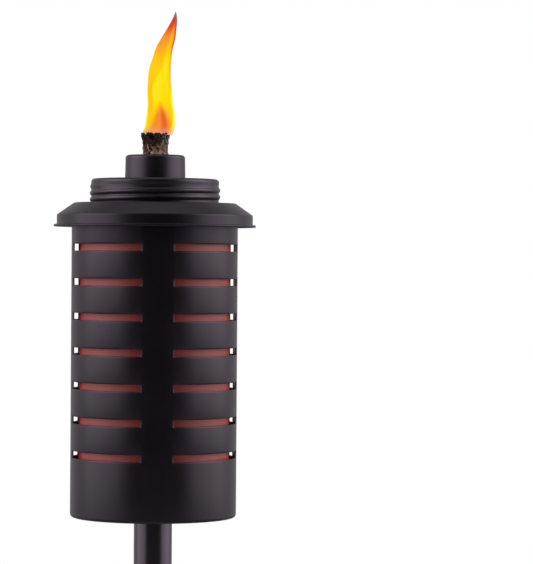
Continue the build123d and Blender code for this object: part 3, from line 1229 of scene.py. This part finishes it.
# %% Flame shape
FLAME_HEIGHTS = (-1.2, 4, 10, 18, 30, 42, 50.5, 57, 63, 69, 75.3, 80.4)
FLAME_LEFT = (-9.3, -7.4, -6.4, -5.7, -5.5, -4.6, -2.0, 0.1, 3.4, 7.0, 10.5, 12.7)
FLAME_RIGHT = (10.9, 13.1, 13.2, 12.2, 10.3, 9.8, 10.3, 11.3, 12.7, 13.4, 13.8, 13.1)
FLAME_LEVELS = 170
FLAME_STEPS = 128


def smooth_through(heights, values, height):
    """A value at a height on the smooth curve through given points."""
    last = len(heights) - 1
    index = 0
    while index < last - 1 and height > heights[index + 1]:
        index += 1
    share = (height - heights[index]) / (heights[index + 1] - heights[index])

    def slope(at):
        low, high = max(at - 1, 0), min(at + 1, last)
        return (values[high] - values[low]) / (heights[high] - heights[low])

    span = heights[index + 1] - heights[index]
    square, cube = share ** 2, share ** 3
    start_part = (2 * cube - 3 * square + 1) * values[index]
    start_part += (cube - 2 * square + share) * span * slope(index)
    end_part = (3 * square - 2 * cube) * values[index + 1]
    end_part += (cube - square) * span * slope(index + 1)
    return start_part + end_part


def soft(low, high, value):
    """0 below low, 1 above high and a smooth step between."""
    share = min(max((value - low) / (high - low), 0), 1)
    return share * share * (3 - 2 * share)


def hump(value, middle, width):
    """A smooth hill: 1 at its middle and nearly 0 two widths away."""
    return exp(-((value - middle) / width) ** 2)


print("flame", FLAME_HEIGHTS[-1], "mm tall")

# %% [markdown]
# The heat of each point is painted with soft patches. A place is given by its side, from -1 at the
# left edge to 1 at the right edge, and by its share of the flame's height. The flame is yellow in
# the middle, with one hot streak that winds up through it, and cools to red at the tip and along
# the upper right edge. Over the wick stand two darker tongues of vapour that hasn't caught fire yet.

# %% Flame heat
STREAK_SHARES = (0, 0.2, 0.35, 0.475, 0.56, 0.68, 0.81, 1)
STREAK_SIDES = (-0.75, -0.5, -0.37, 0.14, 0.5, 0.58, 0.5, 0.3)
STREAK_WIDTH = 0.3
STREAK_HEAT = 0.17
RIGHT_HEAT = 0.11
TIP_COOLING, LAST_COOLING = 0.3, 0.46
UPPER_EDGE_COOLING, MIDDLE_EDGE_COOLING = 0.3, 0.18
SEAM_COOLING = 0.1
RED_TONGUE_COOLING, ORANGE_TONGUE_COOLING = 0.42, 0.26
TONGUE_SHARE = 0.29
BODY_HEAT = 0.75
MOST_HEAT = 0.89
LEAST_HEAT = 0.02
RIM_HEAT = 0.45


def tongue_cooling(side, share):
    """How much cooler the two tongues of unburnt vapour over the wick are than the flame."""
    depth = 1 - share / TONGUE_SHARE
    if depth <= 0:
        return 0
    red = hump(side, -0.1 + 0.46 * depth, 0.09 + 0.4 * depth) * soft(0.0, 0.45, depth)
    orange = hump(side, -0.13 - 0.24 * depth, 0.08 + 0.27 * depth) * soft(0.1, 0.6, depth)
    return RED_TONGUE_COOLING * red + ORANGE_TONGUE_COOLING * orange * (1 - red)


def heat_at(side, share):
    """Heat from 0 to 1 at a sideways place (-1 to 1) and a share of the flame's height."""
    streak = smooth_through(STREAK_SHARES, STREAK_SIDES, share)
    heat = BODY_HEAT - 0.02 * side
    heat += STREAK_HEAT * hump(side, streak, STREAK_WIDTH) * soft(0.12, 0.34, share)
    right_of_streak = soft(streak, streak + 0.4, side)
    heat += RIGHT_HEAT * right_of_streak * soft(0.1, 0.3, share) * (1 - soft(0.45, 0.62, share))
    tip = TIP_COOLING * soft(0.55, 0.84, share) + LAST_COOLING * soft(0.78, 1.0, share)
    upper_edge = UPPER_EDGE_COOLING * soft(0.68, 0.98, side) * soft(0.6, 0.72, share)
    halfway = soft(0.3, 0.4, share) * (1 - soft(0.6, 0.7, share))
    middle_edge = MIDDLE_EDGE_COOLING * soft(0.8, 1.0, side) * halfway
    seam_run = soft(0.1, 0.25, share) * (1 - soft(0.3, 0.5, share))
    left_seam = SEAM_COOLING * hump(side, -0.72, 0.16) * seam_run
    heat -= tip + upper_edge + middle_edge + left_seam + tongue_cooling(side, share)
    right_rim = soft(0.78 - 0.2 * (1 - soft(0.0, 0.2, share)), 1.0, side)
    left_rim = soft(0.86, 1.0, -side)
    rim = max(right_rim, left_rim) * (1 - soft(0.2, 0.38, share))
    return min(max(min(heat, MOST_HEAT) + RIM_HEAT * rim, LEAST_HEAT), 1)


print("heat low in the middle", round(heat_at(0, 0.3), 2), "and at the tip", round(heat_at(0, 1), 2))

# %% [markdown]
# The mesh is a stack of level slices. Each is an oval between the two edge curves, a little less
# deep than wide, with three faint lobes that turn as they climb, and the stack sways back and forth.

# %% Flame mesh
TIP_HALF_WIDTH = 0.12
SWAY = 1.6
SWAY_TURN = 3.1
SWAY_START = 0.4
SWAY_OFFSET = -0.6
LOBES = 3
LOBE_DEPTH = 0.05
LOBE_TWIST = 5
DEPTH_AT_FOOT, DEPTH_GAINED = 0.78, 0.12


def make_flame_mesh():
    """Level oval slices of the flame, with the heat of each point."""
    points, heats = [], []
    tall = FLAME_HEIGHTS[-1]
    for level in range(FLAME_LEVELS + 1):
        height = FLAME_HEIGHTS[0] + (tall - FLAME_HEIGHTS[0]) * level / FLAME_LEVELS
        left = smooth_through(FLAME_HEIGHTS, FLAME_LEFT, height)
        right = smooth_through(FLAME_HEIGHTS, FLAME_RIGHT, height)
        middle, half = (left + right) / 2, max((right - left) / 2, TIP_HALF_WIDTH)
        share = max(height, 0) / tall
        sway = SWAY * sin(SWAY_TURN * share + SWAY_START) + SWAY_OFFSET
        roundness = DEPTH_AT_FOOT + DEPTH_GAINED * share
        for step in range(FLAME_STEPS):
            turn = tau * step / FLAME_STEPS
            lobe = 1 + LOBE_DEPTH * cos(LOBES * turn + LOBE_TWIST * share) * soft(0.05, 0.3, share)
            side = cos(turn)
            depth = half * roundness * sin(turn) * lobe
            points.append(((middle + half * side) * MM, (sway + depth) * MM, wick_top + height * MM))
            heats.append(heat_at(side, share))
    return points, tube_faces(FLAME_LEVELS + 1, FLAME_STEPS), heats


flame_points, flame_faces, flame_heats = make_flame_mesh()
print("flame", len(flame_points), "points")

# %% [markdown]
# ## Finish: flame
# The finish reflects nothing and only shines. A colour ramp turns the stored heat into the colours
# of burning oil, from the mauve of the coolest edge to the pale yellow of the hottest streak.

# %% Flame colours
FLAME_COLOURS = (
    (0.00, (0.42, 0.14, 0.16)),
    (0.12, (0.55, 0.05, 0.035)),
    (0.28, (0.70, 0.085, 0.025)),
    (0.42, (0.90, 0.20, 0.03)),
    (0.55, (0.95, 0.34, 0.022)),
    (0.70, (0.98, 0.52, 0.010)),
    (0.84, (0.98, 0.73, 0.002)),
    (0.93, (0.99, 0.82, 0.02)),
    (1.00, (1.00, 0.93, 0.30)),
)
FLAME_BLUSH = (0.80, 0.36, 0.21)
FLAME_BLACK = (0, 0, 0)
print("flame colours", len(FLAME_COLOURS))

# %% [markdown]
# Noise drawn out upwards makes the borders between the colours flicker, and a pale blush near the
# wick stands for the blue root, which looks pink against bright surroundings.

# %% Flame finish
BLUSH_TOP = 5.5 * MM
BLUSH_FOOT = -0.5 * MM
BLUSH_STRENGTH = 0.6
FLICKER_STRETCH = (260, 260, 45)
FLICKER = 0.16


def make_flame_finish():
    finish, shader = new_finish("wick_flame", FLAME_BLACK, roughness=1.0, level=0.0)
    tree = finish.node_tree
    heat = add_node(tree, "ShaderNodeAttribute", attribute_name="warmth")
    place = add_node(tree, "ShaderNodeTexCoord")
    drawn_up = add_node(tree, "ShaderNodeMapping")
    drawn_up.inputs["Scale"].default_value = FLICKER_STRETCH
    join(tree, place.outputs["Object"], drawn_up.inputs["Vector"])
    flicker = add_node(tree, "ShaderNodeTexNoise", scale=1.0, detail=2.0, roughness=0.5)
    join(tree, drawn_up.outputs["Vector"], flicker.inputs["Vector"])
    shifted = add_node(tree, "ShaderNodeMath", operation="MULTIPLY_ADD")
    shifted.inputs[1].default_value = FLICKER
    shifted.inputs[2].default_value = -FLICKER / 2
    join(tree, flicker.outputs["Fac"], shifted.inputs[0])
    warmed = add_node(tree, "ShaderNodeMath", operation="ADD", use_clamp=True)
    join(tree, heat.outputs["Fac"], warmed.inputs[0])
    join(tree, shifted.outputs[0], warmed.inputs[1])
    tones = colour_ramp(tree, warmed.outputs[0], FLAME_COLOURS)
    parts = add_node(tree, "ShaderNodeSeparateXYZ")
    join(tree, place.outputs["Object"], parts.inputs[0])
    low_down = add_node(tree, "ShaderNodeMapRange", interpolation_type="SMOOTHSTEP")
    low_down.inputs["From Min"].default_value = wick_top + BLUSH_TOP
    low_down.inputs["From Max"].default_value = wick_top + BLUSH_FOOT
    low_down.inputs["To Max"].default_value = BLUSH_STRENGTH
    join(tree, parts.outputs["Z"], low_down.inputs["Value"])
    blushed = two_tone(tree, tones, FLAME_BLUSH, low_down.outputs["Result"])
    join(tree, blushed, shader.inputs["Emission Color"])
    shader.inputs["Emission Strength"].default_value = 1.0
    return finish


wick_flame = make_flame_finish()
print("finish", wick_flame.name)

# %% [markdown]
# The tongue is seen by the camera, but it doesn't light or mirror itself in the coating: the studio
# is far brighter than a small flame, so a real one leaves no warm patch on the cover either.

# %% Flame piece
flame_tongue = add_piece(
    "flame_tongue", flame_points, flame_faces, wick_flame, "wick_and_flame", "flame_light"
)
store(flame_tongue, "warmth", flame_heats)
flame_tongue.visible_diffuse = False
flame_tongue.visible_glossy = False
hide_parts("flame")
print("flame tip at", round(max(point[2] for point in flame_points), 4))

# %% [markdown]
# ## The studio
# Satin black shows nothing but its surroundings, so the surroundings are designed: two broad soft
# panels, one on each side, a dark wall behind the camera that keeps the middle of every tube black,
# and a pale room behind. They are painted on the world as smooth patches of direction, which lights
# a tall thin object evenly from top to foot. Only the camera sees the plain white backdrop.

# %% World light helpers
FRONT_LIGHT = 0.005
BACK_LIGHT = 0.5
BACK_RANGE = (-0.85, 0.1)
PANELS = ((radians(-76), 1.05), (radians(84), 1.05))
PANEL_EDGE = (radians(40), radians(22))


def map_smooth(tree, value, from_range, to_range):
    """A socket's value carried smoothly from one range to another."""
    node = add_node(tree, "ShaderNodeMapRange", interpolation_type="SMOOTHSTEP")
    for label, number in zip(("From Min", "From Max", "To Min", "To Max"), (*from_range, *to_range)):
        node.inputs[label].default_value = number
    join(tree, value, node.inputs["Value"])
    return node.outputs["Result"]


def calculate(tree, operation, first, second):
    """A Math node for two sockets."""
    node = add_node(tree, "ShaderNodeMath", operation=operation)
    join(tree, first, node.inputs[0])
    join(tree, second, node.inputs[1])
    return node.outputs[0]


def level_direction(tree, direction):
    """A direction with its rise taken out, as a vector of length one."""
    flat = add_node(tree, "ShaderNodeVectorMath", operation="MULTIPLY")
    flat.inputs[1].default_value = (1, 1, 0)
    join(tree, direction, flat.inputs[0])
    level = add_node(tree, "ShaderNodeVectorMath", operation="NORMALIZE")
    join(tree, flat.outputs[0], level.inputs[0])
    return level.outputs[0]


def panel_light(tree, level, angle, strength):
    """A soft-edged upright panel at an angle from the front, as a strength for each direction."""
    facing = add_node(tree, "ShaderNodeVectorMath", operation="DOT_PRODUCT")
    facing.inputs[1].default_value = (sin(angle), -cos(angle), 0)
    join(tree, level, facing.inputs[0])
    outer, inner = PANEL_EDGE
    return map_smooth(tree, facing.outputs["Value"], (cos(outer), cos(inner)), (0, strength))


print("panels", len(PANELS))

# %% [markdown]
# The room's strength is the walls, dimmer straight above, plus both panels. The panels grow
# brighter upwards and end softly over the torch and below its foot.

# %% World light
ROOM_TINT = (1, 0.94, 1, 1)
WHITE = (1, 1, 1, 1)
CEILING = ((0.45, 1.0), (1.0, 0.25))
PANEL_FOOT = ((-0.2, 0.02), (0.42, 1))
PANEL_RISE = ((0.08, 0.4), (1.0, 1.9))
PANEL_HEAD = ((0.55, 0.85), (1, 0))


def room_strength(tree, direction):
    """How bright the room is in each direction."""
    parts = add_node(tree, "ShaderNodeSeparateXYZ")
    join(tree, direction, parts.inputs[0])
    rise = parts.outputs["Z"]
    walls = map_smooth(tree, parts.outputs["Y"], BACK_RANGE, (FRONT_LIGHT, BACK_LIGHT))
    dimmed = calculate(tree, "MULTIPLY", walls, map_smooth(tree, rise, *CEILING))
    level = level_direction(tree, direction)
    panels = calculate(tree, "ADD", *(panel_light(tree, level, *panel) for panel in PANELS))
    for upright in (PANEL_FOOT, PANEL_RISE, PANEL_HEAD):
        panels = calculate(tree, "MULTIPLY", panels, map_smooth(tree, rise, *upright))
    return calculate(tree, "ADD", dimmed, panels)


def make_world():
    world = bpy.data.worlds.new("studio")
    bpy.context.scene.world = world
    world.use_nodes = True
    tree = world.node_tree
    tree.nodes.clear()
    place = add_node(tree, "ShaderNodeTexCoord")
    room = add_node(tree, "ShaderNodeBackground", color=ROOM_TINT)
    join(tree, room_strength(tree, place.outputs["Generated"]), room.inputs["Strength"])
    backdrop = add_node(tree, "ShaderNodeBackground", color=WHITE, strength=1.0)
    path = add_node(tree, "ShaderNodeLightPath")
    mix = add_node(tree, "ShaderNodeMixShader")
    join(tree, path.outputs["Is Camera Ray"], mix.inputs["Fac"])
    join(tree, room.outputs[0], mix.inputs[1])
    join(tree, backdrop.outputs[0], mix.inputs[2])
    output = add_node(tree, "ShaderNodeOutputWorld")
    join(tree, mix.outputs[0], output.inputs["Surface"])


make_world()
bpy.context.scene.view_settings.view_transform = "Standard"
print("world", bpy.context.scene.world.name)

# %% [markdown]
# One real lamp, two metres wide, hangs high above the torch. It gives the level faces a sheen and
# lays a soft shadow under the torch, which a light painted on the world is too even to do.

# %% Overhead softbox
SOFTBOX_RISE = 2.2
SOFTBOX_SIDE = 2.0
SOFTBOX_POWER = 5.0


def make_softbox():
    light = bpy.data.lights.new("overhead_softbox", "AREA")
    light.shape = "SQUARE"
    light.size = SOFTBOX_SIDE
    light.energy = SOFTBOX_POWER
    lamp = bpy.data.objects.new("overhead_softbox", light)
    lamp.location = (0, 0, cap_top + SOFTBOX_RISE)
    lamp.visible_camera = False
    bpy.context.scene.collection.objects.link(lamp)


make_softbox()
print("softbox at", round(cap_top + SOFTBOX_RISE, 2))

# %% [markdown]
# ## The floor
# The floor is a plain pale disc under the spike's tip. It fades to the backdrop's white towards its
# rim, by distance from the torch, so no edge shows behind it.

# %% Floor finish
FLOOR_RADIUS = 9.0
FLOOR_GREY = (0.5, 0.5, 0.5)
FLOOR_PALE = (0.78, 0.78, 0.78)
FLOOR_WHITE = (1.0, 1.0, 1.0)
FLOOR_FADE = (1.5, FLOOR_RADIUS - 0.5)
FLOOR_EVEN = 0.62


def make_floor_finish():
    """Pale grey that catches the light near the torch and is as white as the backdrop at the rim."""
    finish, shader = new_finish("floor", FLOOR_GREY, roughness=0.9, level=0.1)
    tree = finish.node_tree
    place = add_node(tree, "ShaderNodeTexCoord")
    reach = add_node(tree, "ShaderNodeVectorMath", operation="LENGTH")
    join(tree, place.outputs["Object"], reach.inputs[0])
    fade = map_smooth(tree, reach.outputs["Value"], FLOOR_FADE, (0, 1))
    glow = add_node(tree, "ShaderNodeEmission")
    join(tree, two_tone(tree, FLOOR_PALE, FLOOR_WHITE, fade), glow.inputs["Color"])
    even = map_smooth(tree, reach.outputs["Value"], FLOOR_FADE, (FLOOR_EVEN, 1))
    path = add_node(tree, "ShaderNodeLightPath")
    share = calculate(tree, "MULTIPLY", even, path.outputs["Is Camera Ray"])
    mix = add_node(tree, "ShaderNodeMixShader")
    join(tree, share, mix.inputs["Fac"])
    join(tree, shader.outputs[0], mix.inputs[1])
    join(tree, glow.outputs[0], mix.inputs[2])
    join(tree, mix.outputs[0], tree.nodes["Material Output"].inputs["Surface"])
    return finish


floor_finish = make_floor_finish()
print("finish", floor_finish.name)

# %% [markdown]
# The disc is one flat face whose origin is under the torch, so the finish's distance starts there.

# %% Floor
FLOOR_STEPS = 96


def make_floor():
    rim = [tau * step / FLOOR_STEPS for step in range(FLOOR_STEPS)]
    corners = [(FLOOR_RADIUS * cos(angle), FLOOR_RADIUS * sin(angle), 0) for angle in rim]
    mesh = bpy.data.meshes.new("floor")
    mesh.from_pydata(corners, [], [tuple(range(FLOOR_STEPS))])
    mesh.materials.append(floor_finish)
    floor_piece = bpy.data.objects.new("floor", mesh)
    floor_piece.location.z = ground
    bpy.context.scene.collection.objects.link(floor_piece)


make_floor()
print("floor at", round(ground, 3))
